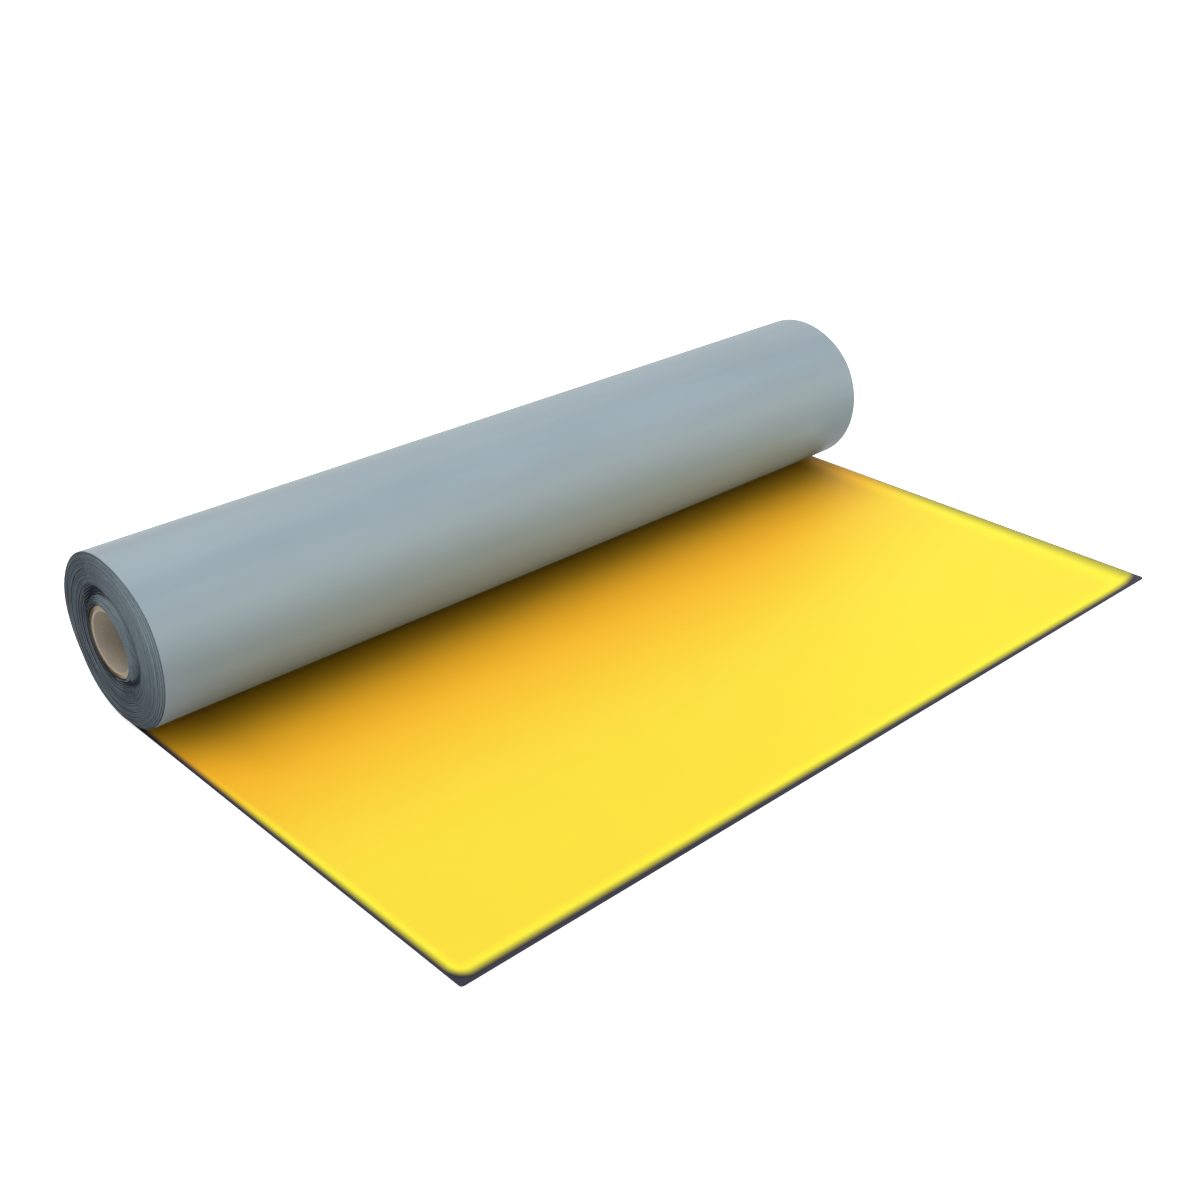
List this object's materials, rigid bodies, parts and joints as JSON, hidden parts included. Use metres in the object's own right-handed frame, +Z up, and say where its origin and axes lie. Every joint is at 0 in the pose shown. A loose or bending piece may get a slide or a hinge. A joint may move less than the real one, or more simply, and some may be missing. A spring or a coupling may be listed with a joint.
{
  "type": "waterproofing membrane roll",
  "caption": "Roll of grey and yellow PVC waterproofing membrane on a cardboard core, with its free end unrolled flat and its yellow face up.",
  "frame": {"origin": "centre of the part's footprint, on the floor under it", "axes": "+X along the roll, -Y the way the free end is unrolled, +Z up"},
  "size_m": [1.212, 0.74, 0.2222],
  "materials": {
    "grey_sheet": "satin",
    "yellow_sheet": "satin",
    "core_board": "matte"
  },
  "bodies": {
    "root": {"membrane": "grey_sheet", "yellow_face": "yellow_sheet", "core_tube": "core_board"}
  },
  "joints": []
}
